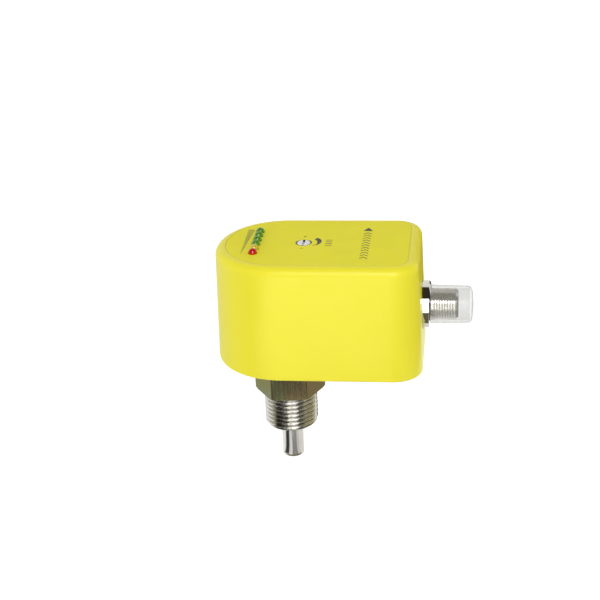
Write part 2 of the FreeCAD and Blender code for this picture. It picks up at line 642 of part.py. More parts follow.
def protective_cap():
    """Soft push-on cup with a slightly tapered wall and a rounded, slightly domed end."""
    end = CAP_X + CAP_LENGTH
    inner = M12_R + CAP_CLEARANCE
    floor = end - CAP_END_WALL
    cup = x_turned([(CAP_X, 0), (CAP_X, CAP_R + CAP_TAPER), (end, CAP_R - CAP_TAPER), (end, 0)])
    cup = cup.common(Part.makeSphere(CAP_DOME_R, V(end - CAP_DOME_R, 0, CONNECTOR_Z)))
    rim = [e for e in cup.Edges if e.BoundBox.XMin > CAP_X + 1 and e.BoundBox.XLength < 0.01]
    cup = cup.makeFillet(CAP_END_R, rim)
    bore = x_turned([(CAP_X, 0), (CAP_X, inner + CAP_MOUTH), (CAP_X + CAP_MOUTH_LENGTH, inner),
                     (floor, inner), (floor, 0)])
    return cup.cut(bore)


def all_parts():
    parts = {
        "housing_shell": housing_shell(),
        "base_cover": base_cover(),
        "base_seal": base_seal(),
        "base_screws": [base_screw(x, y) for x, y in BASE_SCREWS],
        "front_label": front_label(),
        "led_holder": led_holder(),
        "led_leads": led_leads(),
        "trimmer_body": trimmer_body(),
        "trimmer_rotor": trimmer_rotor(),
        "trimmer_seal": trimmer_seal(),
        "display_board": display_board(),
        "display_board_screws": [board_screw(x, y, DISPLAY_Z, True) for x, y in DISPLAY_SCREWS],
        "power_board": power_board(),
        "power_board_screws": [board_screw(x, y, POWER_TOP, False) for x, y in POWER_SCREWS],
        "signal_ic": signal_ic(),
        "voltage_regulator": power_package(*REGULATOR_PLACE),
        "output_transistor": power_package(*TRANSISTOR_PLACE),
        "filter_capacitor": filter_capacitor(),
        "board_header": board_header(),
        "header_pins": header_pins(),
        "process_connection": process_connection(),
        "stem_o_ring": stem_o_ring(),
        "stem_locknut": stem_locknut(),
        "probe_tube": probe_tube(),
        "heater_element": element(-ELEMENT_X),
        "reference_sensor": element(ELEMENT_X),
        "probe_filler": probe_filler(),
        "sensor_leads": sensor_leads(),
        "connector_body": connector_body(),
        "contact_carrier": contact_carrier(),
        "contact_pins": [contact_pin(y, z) for y, z in pin_places()],
        "connector_nut": connector_nut(),
        "connector_gasket": connector_gasket(),
        "connector_leads": connector_leads(),
        "protective_cap": protective_cap(),
    }
    lamps = ["led_red", "led_yellow", "led_green_1", "led_green_2", "led_green_3", "led_green_4"]
    for name, y in zip(lamps, LED_YS):
        parts[name] = led(y)
    return parts


def main():
    os.makedirs("parts", exist_ok=True)
    for name, shape in all_parts().items():
        if isinstance(shape, list):
            shape = Part.makeCompound(shape)
        shape.exportStep("parts/" + name + ".step")


main()
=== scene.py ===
import json
import math

import bmesh
import bpy
from mathutils import Matrix, Vector


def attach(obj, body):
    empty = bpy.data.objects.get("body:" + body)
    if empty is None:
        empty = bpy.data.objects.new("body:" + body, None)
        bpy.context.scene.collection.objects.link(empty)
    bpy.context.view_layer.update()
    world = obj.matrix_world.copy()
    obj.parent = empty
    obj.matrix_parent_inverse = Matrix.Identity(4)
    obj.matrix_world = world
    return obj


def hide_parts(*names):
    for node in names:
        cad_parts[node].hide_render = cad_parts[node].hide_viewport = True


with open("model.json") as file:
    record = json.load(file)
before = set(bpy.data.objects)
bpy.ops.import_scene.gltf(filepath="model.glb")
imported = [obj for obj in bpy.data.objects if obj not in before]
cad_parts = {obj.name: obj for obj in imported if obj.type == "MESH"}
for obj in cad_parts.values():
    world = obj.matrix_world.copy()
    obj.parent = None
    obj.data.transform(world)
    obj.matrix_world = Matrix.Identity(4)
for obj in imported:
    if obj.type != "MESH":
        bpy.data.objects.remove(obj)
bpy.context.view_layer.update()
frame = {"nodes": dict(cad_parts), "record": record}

# Looks of the flow switch. Lengths are in millimetres, unless a comment says metres.
MM = 0.001
TURN = 2 * math.pi
WHITE = (1.0, 1.0, 1.0)
NOISE_RANGE = (0.3, 0.7)    # values that most of a noise pattern lies between

# Camera: where it looks, how far it stands and how it is turned
AIM = (5.376, 0.0, 37.641)
DISTANCE = 539.802
CAMERA_AZIMUTH = 7.628
CAMERA_ELEVATION = 24.396
CAMERA_ROLL = 2.666
LENS = 84.113
SENSOR = 36
CLIP = (0.01, 20)           # metres

# Floor and surroundings
FLOOR_Z = -30.0
FLOOR_HALF = 3.0            # metres
FLOOR_TONE = (0.6, 0.6, 0.6)
FLOOR_GLOW = 0.755          # white that the camera sees on the floor, besides the light that falls on it
SKY_STRENGTH = 0.515
SURROUNDINGS = (0.93, 0.93, 0.92)
ROOM_LOW = (0.23, 0.22, 0.13)
ROOM_HIGH = (0.035, 0.03, 0.02)
ROOM_HEIGHT = (-0.55, 0.05) # sines of the elevations between which the room darkens
ROOM_PLACE = (CAMERA_AZIMUTH + 8, 21)
ROOM_EDGE = (-0.16, 0.02)   # cosines of the angles from its middle between which the room begins

# Softboxes: azimuth, elevation, then distance, width and height in metres, power,
# and whether glossy surfaces show them
LIGHT_AIM = (10, 0, 30)
PANEL_PLACE = (CAMERA_AZIMUTH + 3, 20)
PANEL_SIZE = (0.95, 1.28)
SOFTBOXES = {
    "panel_softbox": (*PANEL_PLACE, 1.2, *PANEL_SIZE, 1.3, True),
    "core_softbox": (CAMERA_AZIMUTH, 38, 1.0, 0.3, 0.3, 2.65, True),
    "left_softbox": (-55, 15, 1.2, 0.6, 0.9, 5.2, False),
    "right_softbox": (75, 15, 1.2, 0.6, 0.9, 4.4, False),
    "back_softbox": (CAMERA_AZIMUTH + 180, 4, 1.2, 1.2, 0.24, 7.5, False),
}

# Glowing cards that only glossy surfaces see, each with how bright it looks: painted reflections, the
# dark ones standing for shade.
# Round the stem: two bearings from the camera's side, two radii and the height
CARD_Z = FLOOR_Z + 0.4
RAISED_Z = 16.2             # just under the housing, for the thread's flanks
STEM_CARDS = {
    "card_left": (-148, -80, 5.5, 62, CARD_Z, (1.15, 1.15, 1.13)),
    "card_far_left": (-148, -80, 62.5, 110, CARD_Z, (1.0, 1.02, 0.6)),
    "card_probe_dark": (-74, -38, 5.5, 30, CARD_Z, (0.05, 0.05, 0.05)),
    "card_probe_light": (-36, -9, 5.5, 30, CARD_Z, (0.95, 0.95, 0.96)),
    "card_probe_grey": (-5, 29, 5.5, 30, CARD_Z, (0.34, 0.34, 0.35)),
    "card_probe_right": (32, 53, 5.5, 30, CARD_Z, (0.75, 0.75, 0.73)),
    "card_near_left": (-78, -17, 30.5, 70, CARD_Z, (0.03, 0.03, 0.026)),
    "card_front": (-14, 21, 30.5, 67, CARD_Z, (1.7, 1.7, 1.65)),
    "card_near_right": (23, 50, 30.5, 67, CARD_Z, (0.25, 0.25, 0.235)),
    "card_far_front": (-60, 60, 70.5, 118, CARD_Z, (0.10, 0.10, 0.09)),
    "card_right": (54, 148, 5.5, 36, CARD_Z, (0.95, 0.94, 0.90)),
    "card_far_right": (54, 148, 36.5, 112, CARD_Z, (0.85, 0.78, 0.54)),
    "card_back_dark": (151, 170, 5.5, 110, CARD_Z, (0.05, 0.05, 0.045)),
    "card_back_light": (173, 194, 5.5, 110, CARD_Z, (1.2, 1.2, 1.18)),
    "card_back_grey": (197, 210, 5.5, 110, CARD_Z, (0.3, 0.3, 0.28)),
    # The two flank cards are a painted reflection of the housing's shaded underside in the thread
    "card_flanks_left": (-83, -24, 11.5, 30, RAISED_Z, (0.15, 0.14, 0.11)),
    "card_flanks_right": (19, 150, 11.5, 30, RAISED_Z, (0.20, 0.18, 0.11)),
}
CARD_STEPS = 24
# Level: x limits, y limits and the height
LEVEL_Z = FLOOR_Z + 0.2
PLUG_CARD_Z = 6.2
LEVEL_CARDS = {
    "card_housing": (-110, 38, -230, -105, LEVEL_Z, (3.2, 3.2, 3.15)),
    "card_housing_far": (-150, 40, -900, -230, LEVEL_Z, (4.9, 4.9, 4.8)),
    "card_plug_front": (44, 420, -480, -185, LEVEL_Z, (1.8, 1.8, 1.75)),
    "card_end_wall": (40, 330, -30, 500, LEVEL_Z, (0.12, 0.10, 0.04)),
    "card_collar": (46, 56.6, -85, -9.5, PLUG_CARD_Z, (0.14, 0.132, 0.078)),
    "card_barrel": (56.6, 80, -85, -9.5, PLUG_CARD_Z, (0.92, 0.96, 1.04)),
    "card_collar_below": (46, 56.6, -9.5, 60, PLUG_CARD_Z, (0.84, 0.85, 0.86)),
    "card_barrel_below": (56.6, 80, -9.5, 60, PLUG_CARD_Z, (1.5, 1.52, 1.56)),
}
# Standing: azimuth, elevation, then distance, width and height in metres
STANDING_CARDS = {
    "card_panel": (*PANEL_PLACE, 1.15, *PANEL_SIZE, (2.6, 2.6, 2.6)),
    "card_rim": (160, 4, 0.5, 0.24, 0.24, (0.1, 0.09, 0.04)),
}

# Process connection: tube seat, G 1/2 thread, hexagon, and above it collar, seal groove and neck
BORE_R = 3.25
TUBE_TOP = -5.0
TUBE_R = 4.25
STEM_THREAD_R = 10.4775
STEM_PITCH = 25.4 / 14
STEM_DEPTH = 0.640327 * STEM_PITCH
STEM_THREAD_END = -15.0
STEM_THREAD_FOOT_R = 6.5
STEM_THREAD_CHAMFER = 1.2
STEM_RUNOUT = (0.5, 1.7)    # below the sealing face, where the thread starts and is at full depth
STEM_THREAD_STEPS = 132
STEM_ROOT = (9.45, 10.3)    # radii between which the grime and painted shade in the thread's root thin out
SEALING_FACE_R = 11.2
HEX_AF = 24.0
HEX_TOP = 11.0
HEX_TURN = 5.0              # degrees
HEX_FACE_R = 13.1
HEX_EDGE_R = 0.4
HEX_CHAMFER_ANGLE = 30
HEX_CHAMFER_ZONE = 0.6
HEX_CHAMFER_STEPS = 6
COLLAR_R = 11.0
NECK_R = 8.0
STEM_TOP_PROFILE = (        # heights and radii
    (HEX_TOP, COLLAR_R), (16.35, COLLAR_R), (16.5, 10.85), (16.5, 10.3), (15.2, 10.3), (15.2, 8.5),
    (16.5, 8.5), (16.5, NECK_R), (26.2, NECK_R), (27.0, 7.2), (27.0, BORE_R),
)

# Plug: rear thread, collar against the housing, M12 x 1 thread
PLUG_Z = 36.5
PLUG_REAR_X = 42.9
PLUG_SEAT_X = 52.1
PLUG_FRONT_X = 55.6
PLUG_INSERT_X = 57.5
PLUG_END_X = 66.0
PLUG_SIDES = 120
PLUG_COLLAR_R = 8.95
PLUG_THREAD_R = 6.0
PLUG_PITCH = 1.0
PLUG_DEPTH = 0.6
PLUG_CREST = 9
PLUG_LEAD = 1.0
PLUG_LEAD_ROWS = 18         # of the thread's rings, those in the chamfer at its end
PLUG_RUNOUT = (0.6, 1.4)
PLUG_THREAD_START_X = PLUG_FRONT_X + 0.4
PLUG_THREAD_STEPS = 166
PLUG_BORE_R = 4.4
INSERT_R = 5.2
REAR_THREAD_R = 7.6
REAR_PITCH = 1.41
REAR_DEPTH = 0.7
REAR_LEAD = 0.6
REAR_RUNOUT = (0.4, 1.4)
REAR_THREAD_STEPS = 80
PLUG_COLLAR_PROFILE = (     # X and radii, as in the two below
    (PLUG_SEAT_X, 8.8), (PLUG_SEAT_X + 0.05, 8.9),
    (PLUG_SEAT_X + 0.15, PLUG_COLLAR_R), (PLUG_SEAT_X + 0.2, PLUG_COLLAR_R),
    (PLUG_FRONT_X - 0.6, PLUG_COLLAR_R), (PLUG_FRONT_X - 0.55, PLUG_COLLAR_R),
    (PLUG_FRONT_X - 0.48, 8.92), (PLUG_FRONT_X - 0.05, 8.49), (PLUG_FRONT_X, 8.42),
)
PLUG_FOOT_PROFILE = ((PLUG_FRONT_X, 6.15), (PLUG_FRONT_X + 0.15, PLUG_THREAD_R))
PLUG_MOUTH_PROFILE = (
    (PLUG_END_X, 4.7), (PLUG_END_X - 0.3, PLUG_BORE_R),
    (PLUG_INSERT_X, PLUG_BORE_R), (PLUG_INSERT_X, INSERT_R),
)
SHARP_ANGLE = 32            # degrees, above which an edge is drawn sharp

# Cap: where its outer faces begin, as a radius about the plug's axis and as X
CAP_OUTER_R = (6.7, 6.8)
CAP_OUTER_X = (70.8, 70.9)

# Ink signs on the label
LABEL_Z = 61.5
INK_HEIGHT = 0.03
INK_FOOT = 0.01
BAR_WIDTH = 0.42
SCALE_BARS = 22
SCALE_START = (-14.6, -10.4)
SCALE_REACH = (0.75, 23.0)
SCALE_LENGTH = (0.45, 2.2)  # of the first bar, and how much longer the last one is
CRESCENT = (10.7, 0.7, 3.0, 3.7, 62, -76)   # centre, two radii, start and end in degrees
CRESCENT_STEPS = 24
CRESCENT_TAPER = (0.25, 1.0)
CRESCENT_WIDTH = 1.6
CRESCENT_TIP = 0.22
PLUS_PLACE = (7.7, 6.1)
MINUS_PLACE = (7.6, -5.7)
PLUS_LENGTH, PLUS_WIDTH = 1.05, 0.28
CHEVRONS = 11
CHEVRON_START, CHEVRON_STEP = -14.6, 2.4
FLOW_X = 31.4
CHEVRON_HALF = 1.45
CHEVRON_DROP, CHEVRON_RISE = 0.6, 0.75
CHEVRON_WIDTHS = (0.42, 0.5, 0.42)
ARROW_HALF = 1.8
ARROW_ENDS = (12.0, 15.4)
SETTING_X = 17.3
SETTING_YS = (-2.6, -0.9, 0.8, 2.5)
SETTING_LENGTH = 2.6


class Tree:
    """Node tree of a material or of the world."""

    def __init__(self, owner):
        owner.use_nodes = True
        self.nodes, self.links = owner.node_tree.nodes, owner.node_tree.links
        self.nodes.clear()

    def add(self, kind, **settings):
        node = self.nodes.new("ShaderNode" + kind)
        for key, value in settings.items():
            setattr(node, key, value)
        return node

    def join(self, source, target):
        self.links.new(source, target)

    def put(self, target, value):
        """Links a socket, or sets a plain number or colour."""
        if isinstance(value, bpy.types.NodeSocket):
            self.join(value, target)
        elif isinstance(value, tuple) and len(value) == 3:
            target.default_value = value + (1.0,)
        else:
            target.default_value = value

    def maths(self, operation, a, b):
        node = self.add("Math", operation=operation)
        self.put(node.inputs[0], a)
        self.put(node.inputs[1], b)
        return node.outputs["Value"]

    def times(self, a, b):
        return self.maths("MULTIPLY", a, b)

    def plus(self, a, b):
        return self.maths("ADD", a, b)

    def larger(self, a, b):
        return self.maths("MAXIMUM", a, b)

    def vectors(self, operation, a, b):
        """Operation between a vector socket and another one, or a plain vector."""
        node = self.add("VectorMath", operation=operation)
        self.join(a, node.inputs[0])
        if isinstance(b, bpy.types.NodeSocket):
            self.join(b, node.inputs[1])
        else:
            node.inputs[1].default_value = b
        return node

    def span(self, value, low, high, to_low=0.0, to_high=1.0):
        """Smooth step from one range to another."""
        node = self.add("MapRange", interpolation_type="SMOOTHSTEP")
        self.join(value, node.inputs["Value"])
        limits = {"From Min": low, "From Max": high, "To Min": to_low, "To Max": to_high}
        for key, number in limits.items():
            node.inputs[key].default_value = number
        return node.outputs["Result"]

    def blend(self, factor, a, b):
        """Mix of two colours; 6, 7 and 2 are the node's colour sockets."""
        node = self.add("Mix", data_type="RGBA")
        self.put(node.inputs[0], factor)
        self.put(node.inputs[6], a)
        self.put(node.inputs[7], b)
        return node.outputs[2]

    def choose(self, factor, first, second):
        """Mix of two shaders."""
        node = self.add("MixShader")
        self.join(factor, node.inputs["Fac"])
        self.join(first, node.inputs[1])
        self.join(second, node.inputs[2])
        return node.outputs[0]

    def end(self, shader, kind="OutputMaterial"):
        """Makes a shader the surface of the material or the world."""
        self.join(shader, self.add(kind).inputs["Surface"])


class Graph(Tree):
    """Node tree of one material of the part, with a shader and coordinates in millimetres."""

    def __init__(self, name):
        self.material = bpy.data.materials.new(name)
        super().__init__(self.material)
        self.shader = self.add("BsdfPrincipled")
        self.end(self.shader.outputs["BSDF"])
        scale = self.add("Mapping")
        scale.inputs["Scale"].default_value = (1 / MM, 1 / MM, 1 / MM)
        self.join(self.add("TexCoord").outputs["Object"], scale.inputs["Vector"])
        self.place = scale.outputs["Vector"]

    def set(self, **values):
        """Sets or links inputs of the shader, named with _ for a space."""
        for key, value in values.items():
            self.put(self.shader.inputs[key.replace("_", " ")], value)

    def stretched(self, factors):
        """Coordinates scaled along each axis, so that patterns stretch where a factor is below 1."""
        node = self.add("Mapping")
        node.inputs["Scale"].default_value = factors
        self.join(self.place, node.inputs["Vector"])
        return node.outputs["Vector"]

    def noise(self, size, detail=3.0, vector=None):
        """Cloudy pattern whose blobs are about size millimetres wide."""
        node = self.add("TexNoise")
        node.inputs["Scale"].default_value = 1 / size
        node.inputs["Detail"].default_value = detail
        self.join(vector or self.place, node.inputs["Vector"])
        return node.outputs["Fac"]

    def along(self, axis):
        """Coordinate in millimetres along X, Y or Z."""
        parts = self.add("SeparateXYZ")
        self.join(self.place, parts.inputs[0])
        return parts.outputs[axis]

    def radius(self, across, centre=(0, 0, 0)):
        """Distance from an axis through a centre; across is 1 along the two other directions."""
        off = self.vectors("SUBTRACT", self.place, centre)
        flat = self.vectors("MULTIPLY", off.outputs["Vector"], across)
        length = self.add("VectorMath", operation="LENGTH")
        self.join(flat.outputs["Vector"], length.inputs[0])
        return length.outputs["Value"]

    def rounded(self, radius):
        """Normal of the surface with its edges rounded."""
        node = self.add("Bevel", samples=6)
        node.inputs["Radius"].default_value = radius * MM
        return node.outputs["Normal"]

    def edges(self, radius):
        """One along the outer and inner edges, nothing on open faces."""
        flat = self.add("NewGeometry").outputs["Normal"]
        match = self.vectors("DOT_PRODUCT", self.rounded(radius), flat)
        return self.span(match.outputs["Value"], low=0.995, high=0.86)

    def relief(self, height, depth, soften=0.0):
        """Bump of the given depth in millimetres, on edges softened by a small radius."""
        bump = self.add("Bump")
        bump.inputs["Distance"].default_value = depth * MM
        self.join(height, bump.inputs["Height"])
        if soften:
            self.join(self.rounded(soften), bump.inputs["Normal"])
        self.join(bump.outputs["Normal"], self.shader.inputs["Normal"])


def shade(colour, factor):
    """Colour made darker or brighter."""
    return tuple(min(1.0, c * factor) for c in colour)


def toward(colour, other, share):
    """Colour moved a share of the way to another."""
    return tuple(c + (o - c) * share for c, o in zip(colour, other))


def moulded(name, colour, roughness=0.36, grain=0.35, wear=0.25, specular=0.5, drift=0.012):
    """Moulded plastic: slight flow marks, a fine grain, and edges rubbed paler and smoother."""
    g = Graph(name)
    flow = g.span(g.noise(size=17.0, detail=2.0), low=0.35, high=0.65)
    grain_height = g.noise(size=grain, detail=4.0)
    rubbed = g.span(g.noise(size=2.2, detail=4.0), low=0.42, high=0.66, to_low=0.15)
    handled = g.times(g.edges(radius=0.6), rubbed)
    base = g.blend(flow, shade(colour, 1 - drift), shade(colour, 1 + drift))
    g.set(Base_Color=g.blend(g.times(handled, wear), base, toward(colour, WHITE, 0.35)))
    smudge = g.span(g.noise(size=6.5, detail=4.0), *NOISE_RANGE,
                    to_low=roughness - 0.02, to_high=roughness + 0.02)
    g.set(Roughness=g.plus(smudge, g.times(grain_height, 0.03)), Specular_IOR_Level=specular)
    g.relief(grain_height, depth=0.012, soften=0.12)
    return g.material


def film(name, colour):
    """Printed film with a fine pebbled face and painted shade along its edge, where it sits in its
    recess.
    """
    g = Graph(name)
    cells = g.add("TexVoronoi", feature="SMOOTH_F1")
    cells.inputs["Scale"].default_value = 1 / 0.28
    g.join(g.place, cells.inputs["Vector"])
    drift = g.span(g.noise(size=11.0), *NOISE_RANGE)
    # Painted shade along the film's edge in its recess, broken up by noise
    edge = g.times(g.edges(radius=0.3), g.span(g.noise(size=1.4), low=0.4, high=0.7))
    face = g.blend(drift, shade(colour, 0.98), shade(colour, 1.015))
    g.set(Base_Color=g.blend(g.times(edge, 0.6), face, shade(colour, 0.6)))
    g.set(Roughness=g.span(g.noise(size=3.5, detail=4.0), *NOISE_RANGE, to_low=0.52, to_high=0.62))
    g.set(Specular_IOR_Level=0.14)
    g.relief(cells.outputs["Distance"], depth=0.01)
    return g.material


def ink(name, colour):
    """Screen printed ink, a little uneven in body."""
    g = Graph(name)
    body = g.noise(size=0.22)
    thin = toward(colour, (0.3, 0.28, 0.1), 0.25)
    g.set(Base_Color=g.blend(g.span(body, low=0.35, high=0.7), colour, thin))
    g.set(Roughness=g.span(body, *NOISE_RANGE, to_low=0.45, to_high=0.6))
    g.relief(body, depth=0.006)
    return g.material


def epoxy(name, colour, deep):
    """Tinted cast resin of a lamp: a little hazy, with faint casting ripples and a glossy skin."""
    g = Graph(name)
    g.set(Base_Color=g.blend(g.span(g.noise(size=0.9), *NOISE_RANGE), deep, colour))
    g.set(Roughness=g.span(g.noise(size=0.5), *NOISE_RANGE, to_low=0.05, to_high=0.09))
    g.set(IOR=1.5, Specular_IOR_Level=0.6, Coat_Weight=0.35, Coat_IOR=1.6, Coat_Roughness=0.04)
    g.set(Subsurface_Weight=0.3, Subsurface_Scale=0.8 * MM)
    g.shader.inputs["Subsurface Radius"].default_value = toward(colour, WHITE, 0.1)
    g.relief(g.noise(size=0.7, detail=2.0), depth=0.015)
    return g.material


def rubber(name, colour):
    """Moulded rubber: dull, dusty in places, with a fine skin."""
    g = Graph(name)
    skin = g.noise(size=0.18, detail=4.0)
    dust = g.span(g.noise(size=2.5, detail=4.0), low=0.45, high=0.7, to_high=0.35)
    g.set(Base_Color=g.blend(dust, colour, toward(colour, (0.25, 0.24, 0.22), 0.3)))
    g.set(Roughness=g.span(skin, *NOISE_RANGE, to_low=0.6, to_high=0.78), Specular_IOR_Level=0.35)
    g.relief(skin, depth=0.015, soften=0.1)
    return g.material


def turned_metal(name, colour, roughness, axis, tool_mark=0.11, depth=0.003, anisotropy=0.5, stain=0.10,
                 root=None, uneven=1.0):
    """Turned metal: tool marks round an axis, stains, bright edges, and grime with painted shade in a
    thread's root.
    """
    g = Graph(name)
    round_axis = {"X": (1.0, 0.02, 0.02), "Z": (0.02, 0.02, 1.0)}[axis]
    marks = g.noise(size=tool_mark, detail=2.0, vector=g.stretched(round_axis))
    broad_marks = g.noise(size=tool_mark * 6, vector=g.stretched(round_axis))
    cloud = g.span(g.noise(size=3.8, detail=5.0), low=0.4, high=0.72)
    bright = g.times(g.edges(radius=0.25), g.span(g.noise(size=1.1), low=0.38, high=0.62))
    stain_tone = toward(shade(colour, 0.62), (0.32, 0.25, 0.16), 0.35)
    stained = g.blend(g.times(cloud, stain), colour, stain_tone)
    finish = g.blend(g.times(bright, 0.5), stained, toward(colour, WHITE, 0.45))
    if root:
        # Painted shade with some grime: the thread's root is darkened below a radius
        root_grime_and_shade = g.span(g.radius(across=(1, 1, 0)), *root, to_low=0.42, to_high=0.0)
        finish = g.blend(root_grime_and_shade, finish, (0.02, 0.019, 0.012))
    g.set(Base_Color=finish, Metallic=1.0, Anisotropic=anisotropy)
    ridges = g.plus(g.times(marks, 0.07 * uneven), g.times(broad_marks, 0.06 * uneven))
    dull = g.span(cloud, 0.0, 1.0, to_low=roughness - 0.07 * uneven, to_high=roughness + 0.01)
    g.set(Roughness=g.plus(ridges, dull))
    tangent = g.add("Tangent", direction_type="RADIAL", axis=axis)
    g.join(tangent.outputs["Tangent"], g.shader.inputs["Tangent"])
    g.relief(g.plus(g.times(marks, 0.7), broad_marks), depth, soften=0.06)
    return g.material


def drawn_metal(name, colour, stain_and_shade_tint, roughness):
    """Cold drawn bar: marks along Z, a cloudy brown colour that is random in places and grows towards +X
    as painted shade, and bright worn edges.
    """
    g = Graph(name)
    drawn = g.stretched((1.0, 1.0, 0.03))
    broad, fine = g.noise(size=1.3, vector=drawn), g.noise(size=0.16, detail=2.0, vector=drawn)
    cloud = g.plus(g.noise(size=6.0), g.times(g.along("X"), 0.03))
    bright = g.times(g.edges(radius=0.3), g.span(g.noise(size=1.1), low=0.38, high=0.62))
    base = g.blend(g.span(broad, low=0.32, high=0.68), shade(colour, 0.88), shade(colour, 1.12))
    # Brown colour over the base: random in places, and painted shade that grows towards +X
    base = g.blend(g.span(cloud, low=0.36, high=0.62, to_high=0.8), base, stain_and_shade_tint)
    g.set(Base_Color=g.blend(g.times(bright, 0.35), base, toward(colour, WHITE, 0.35)), Metallic=1.0)
    dull = g.span(fine, *NOISE_RANGE, to_low=roughness - 0.1, to_high=roughness)
    g.set(Roughness=g.plus(g.times(broad, 0.12), dull))
    g.relief(g.plus(g.times(fine, 0.6), broad), depth=0.002, soften=0.08)
    return g.material


def milky(name, colour):
    """Soft translucent polyethylene: hazy, denser where its outside is seen edge on, waxy and scuffed."""
    g = Graph(name)
    cloud = g.span(g.noise(size=3.2, detail=4.0), *NOISE_RANGE)
    scuff = g.noise(size=0.5, detail=4.0, vector=g.stretched((0.35, 1.0, 1.0)))
    g.set(Base_Color=g.blend(cloud, shade(colour, 0.95), colour))
    edge_on = g.add("LayerWeight")
    edge_on.inputs["Blend"].default_value = 0.5
    from_axis = g.radius(across=(0, 1, 1), centre=(0, 0, PLUG_Z))
    outside = g.plus(g.span(from_axis, *CAP_OUTER_R), g.span(g.along("X"), *CAP_OUTER_X))
    rim = g.span(edge_on.outputs["Facing"], low=0.25, high=0.95, to_low=0.04, to_high=0.3)
    dense = g.times(g.span(outside, low=0.0, high=0.1), rim)
    g.set(Alpha=g.plus(g.plus(dense, g.times(cloud, 0.025)), 0.17))
    g.set(Roughness=g.span(scuff, *NOISE_RANGE, to_low=0.2, to_high=0.32))
    g.relief(g.noise(size=1.8), depth=0.02)
    return g.material


def laminate(name, mask, copper):
    """Circuit board: solder mask over a grid of tracks, with weave showing faintly."""
    g = Graph(name)
    tracks = g.add("TexBrick", offset=0.35)
    grid = {"Scale": 0.12, "Mortar Size": 0.05, "Brick Width": 0.9, "Row Height": 0.3}
    for key, number in grid.items():
        tracks.inputs[key].default_value = number
    g.join(g.place, tracks.inputs["Vector"])
    lines = tracks.outputs["Fac"]
    weave = g.noise(size=0.4, detail=2.0, vector=g.stretched((1.0, 0.25, 1.0)))
    cloth = g.blend(weave, shade(mask, 0.85), shade(mask, 1.1))
    g.set(Base_Color=g.blend(g.times(lines, 0.6), cloth, copper))
    g.set(Roughness=g.span(weave, *NOISE_RANGE, to_low=0.3, to_high=0.42))
    g.relief(g.plus(lines, g.times(weave, 0.2)), depth=0.02, soften=0.1)
    return g.material


def fired(name, colour, roughness, grain, depth):
    """Ceramic or cast filler: speckled and matt."""
    g = Graph(name)
    speck = g.noise(size=grain, detail=4.0)
    speckled = g.span(speck, low=0.35, high=0.7)
    g.set(Base_Color=g.blend(speckled, shade(colour, 0.86), shade(colour, 1.05)))
    g.set(Roughness=g.span(speck, *NOISE_RANGE, to_low=roughness - 0.08, to_high=roughness + 0.08))
    g.relief(speck, depth, soften=0.1)
    return g.material


YELLOW = (0.875, 0.79, 0.031)
LABEL_YELLOW = (0.91, 0.835, 0.045)
STEEL = (0.60, 0.585, 0.55)
NICKEL = (0.72, 0.70, 0.655)
SMOOTH_CUT = {"depth": 0.0012, "anisotropy": 0.25}

MATERIALS = {
    "yellow_plastic": moulded("moulded_yellow", YELLOW, roughness=0.34, specular=0.42, drift=0.006),
    "label_film": film("label_film", LABEL_YELLOW),
    "red_lens": epoxy("red_epoxy", (0.56, 0.006, 0.003), deep=(0.34, 0.001, 0.001)),
    "yellow_lens": epoxy("yellow_epoxy", (0.70, 0.56, 0.035), deep=(0.50, 0.38, 0.012)),
    "green_lens": epoxy("green_epoxy", (0.13, 0.31, 0.012), deep=(0.055, 0.19, 0.004)),
    "white_plastic": moulded("moulded_white", (0.80, 0.79, 0.76), roughness=0.28, grain=0.25, wear=0.1),
    "black_plastic": moulded("moulded_black", (0.022, 0.022, 0.024), roughness=0.45, wear=0.12),
    "black_rubber": rubber("black_rubber", (0.022, 0.021, 0.02)),
    "stainless_steel": turned_metal("turned_steel", STEEL, roughness=0.16, axis="Z", **SMOOTH_CUT),
    "screw_steel": turned_metal("screw_steel", (0.56, 0.555, 0.54), roughness=0.3, axis="Z",
                                tool_mark=0.08),
    "plated_brass": turned_metal("nickel_plate", NICKEL, roughness=0.13, axis="X", stain=0.04,
                                 **SMOOTH_CUT),
    "gold_contact": turned_metal("gold_plate", (0.86, 0.64, 0.27), roughness=0.2, axis="X",
                                 tool_mark=0.07),
    "tinned_copper": turned_metal("tinned_copper", (0.70, 0.69, 0.67), roughness=0.34, axis="Z",
                                  tool_mark=0.2),
    "milky_plastic": milky("milky_polyethylene", (0.59, 0.595, 0.59)),
    "circuit_board": laminate("solder_mask", (0.012, 0.12, 0.04), copper=(0.10, 0.26, 0.08)),
    "aluminium_can": moulded("capacitor_sleeve", (0.02, 0.022, 0.05), roughness=0.3, wear=0.1),
    "white_ceramic": fired("ceramic", (0.80, 0.79, 0.75), roughness=0.6, grain=0.3, depth=0.01),
    "grey_filler": fired("cast_filler", (0.2, 0.2, 0.21), roughness=0.7, grain=0.45, depth=0.03),
    "wire_sleeve": moulded("wire_sleeve", (0.02, 0.04, 0.2), roughness=0.42, grain=0.5, wear=0.05),
}
# Thread steel is a lighter copy of the stem's steel, a painted brightening of the thread's highlights;
# its roots get painted shade with some grime.
THREAD_STEEL = turned_metal("cut_thread", (0.74, 0.72, 0.68), roughness=0.14, axis="Z", root=STEM_ROOT,
                            **SMOOTH_CUT)
